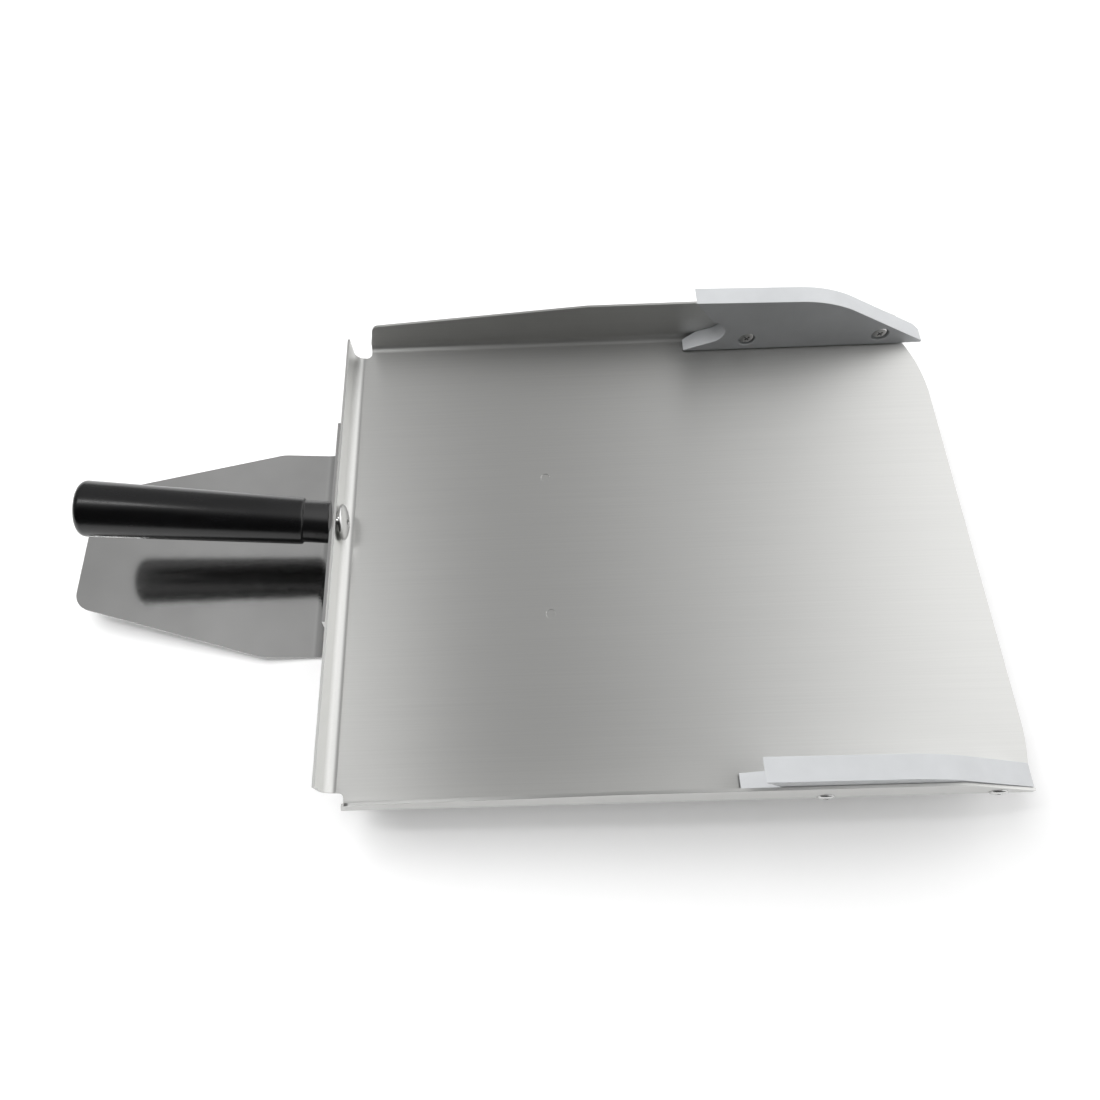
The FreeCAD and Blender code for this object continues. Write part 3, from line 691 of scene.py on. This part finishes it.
def light_room():
    """A dim room on the near side and a bright ceiling that grows brighter towards the tray's mouth."""
    world = bpy.data.worlds.new("studio_room")
    bpy.context.scene.world = world
    world.use_nodes = True
    tree = world.node_tree
    background = tree.nodes["Background"]
    place = add_node(tree, "ShaderNodeTexCoord")
    axes = add_node(tree, "ShaderNodeSeparateXYZ", inputs={"Vector": place.outputs["Generated"]})

    along = add_node(tree, "ShaderNodeValToRGB")
    along.color_ramp.interpolation = "EASE"
    ramp = along.color_ramp.elements
    first, last = ROOM_LEVELS[0], ROOM_LEVELS[-1]
    for step, (position, level) in ((ramp[0], first), (ramp[1], last)):
        step.position, step.color = position, (level, level, level, 1)
    for position, level in ROOM_LEVELS[1:-1]:
        ramp.new(position).color = (level, level, level, 1)
    shifted = add_node(tree, "ShaderNodeMapRange", inputs={
        "Value": axes.outputs["X"], "From Min": -1.0, "From Max": 1.0})
    tree.links.new(shifted.outputs["Result"], along.inputs["Fac"])

    across = add_node(tree, "ShaderNodeMapRange", {"interpolation_type": "SMOOTHSTEP"}, {
        "Value": axes.outputs["Y"], "From Min": -0.5, "From Max": 0.05, "To Min": 0.06, "To Max": 1.0})
    level = add_node(tree, "ShaderNodeMix", {"data_type": "RGBA", "blend_type": "MULTIPLY"}, {
        "Factor": 1.0, "A": along.outputs["Color"]})
    fall = across.outputs["Result"]
    grey = add_node(tree, "ShaderNodeCombineColor", inputs={"Red": fall, "Green": fall, "Blue": fall})
    tree.links.new(grey.outputs["Color"], level.inputs["B"])
    tree.links.new(level.outputs["Result"], background.inputs["Color"])
    background.inputs["Strength"].default_value = 1.0


class SCOOP_OT_studio(bpy.types.Operator):
    """Floor, soft lights and camera"""
    bl_idname = "scoop.studio"
    bl_label = "Studio"

    def execute(self, context):
        studio = context.scene.scoop_studio
        deselect_all()
        bpy.ops.mesh.primitive_plane_add(size=8)
        floor = bpy.context.active_object
        floor.name = "studio_floor"
        edit(floor)
        bpy.ops.mesh.subdivide(number_cuts=3)
        bpy.ops.object.mode_set(mode="OBJECT")
        settle(floor)
        paint(floor, "paper")

        light_room()
        key_place = (-0.8, 0.6, LIGHT_HEIGHT)
        add_light("key_soft", key_place, (0.05, 0.0, 0.0), (1.6, 1.6), studio.key_power, False)
        add_light("strip", STRIP_CENTRE + (LIGHT_HEIGHT,), STRIP_CENTRE + (0.0,), (0.7, 0.1),
                  studio.strip_power)

        data = bpy.data.cameras.new("camera_main")
        data.sensor_width = 36
        data.lens = studio.lens
        data.shift_x, data.shift_y = CAMERA_SHIFT
        data.clip_start = 0.01
        camera = bpy.data.objects.new("camera_main", data)
        context.collection.objects.link(camera)
        right = CAMERA_RIGHT.normalized()
        back = CAMERA_BACK.normalized()
        up = back.cross(right).normalized()
        right = up.cross(back).normalized()
        turn = Matrix((right, up, back)).transposed().to_4x4()
        camera.matrix_world = Matrix.Translation(studio.camera_place) @ turn
        context.scene.camera = camera
        context.scene.view_settings.view_transform = "Standard"
        return {"FINISHED"}


class SCOOP_PT_panel(bpy.types.Panel):
    bl_idname = "SCOOP_PT_panel"
    bl_label = "Mortar scoop"
    bl_space_type = "VIEW_3D"
    bl_region_type = "UI"
    bl_category = "Scoop"

    def draw(self, context):
        layout = self.layout
        scene = context.scene
        for group in (scene.scoop_sizes, scene.scoop_colours, scene.scoop_studio):
            box = layout.box()
            for name in group.__annotations__:
                box.prop(group, name)
        for operator in OPERATORS:
            layout.operator(operator.bl_idname)


OPERATORS = (
    SCOOP_OT_studio,
    SCOOP_OT_sheet_metal,
    SCOOP_OT_side_guards,
    SCOOP_OT_grip,
    SCOOP_OT_bolt,
    SCOOP_OT_screws,
    SCOOP_OT_sleeve_nuts,
    SCOOP_OT_inner_parts,
)
CLASSES = (ScoopSizes, ScoopColours, ScoopStudio) + OPERATORS + (SCOOP_PT_panel,)


def register():
    for item in CLASSES:
        bpy.utils.register_class(item)
    bpy.types.Scene.scoop_sizes = PointerProperty(type=ScoopSizes)
    bpy.types.Scene.scoop_colours = PointerProperty(type=ScoopColours)
    bpy.types.Scene.scoop_studio = PointerProperty(type=ScoopStudio)


def unregister():
    del bpy.types.Scene.scoop_studio
    del bpy.types.Scene.scoop_colours
    del bpy.types.Scene.scoop_sizes
    for item in reversed(CLASSES):
        bpy.utils.unregister_class(item)


def main():
    register()
    bpy.ops.scoop.studio()
    bpy.ops.scoop.sheet_metal()
    bpy.ops.scoop.side_guards()
    bpy.ops.scoop.grip()
    bpy.ops.scoop.bolt()
    bpy.ops.scoop.screws()
    bpy.ops.scoop.sleeve_nuts()
    bpy.ops.scoop.inner_parts()
    deselect_all()


if __name__ == "__main__":
    main()
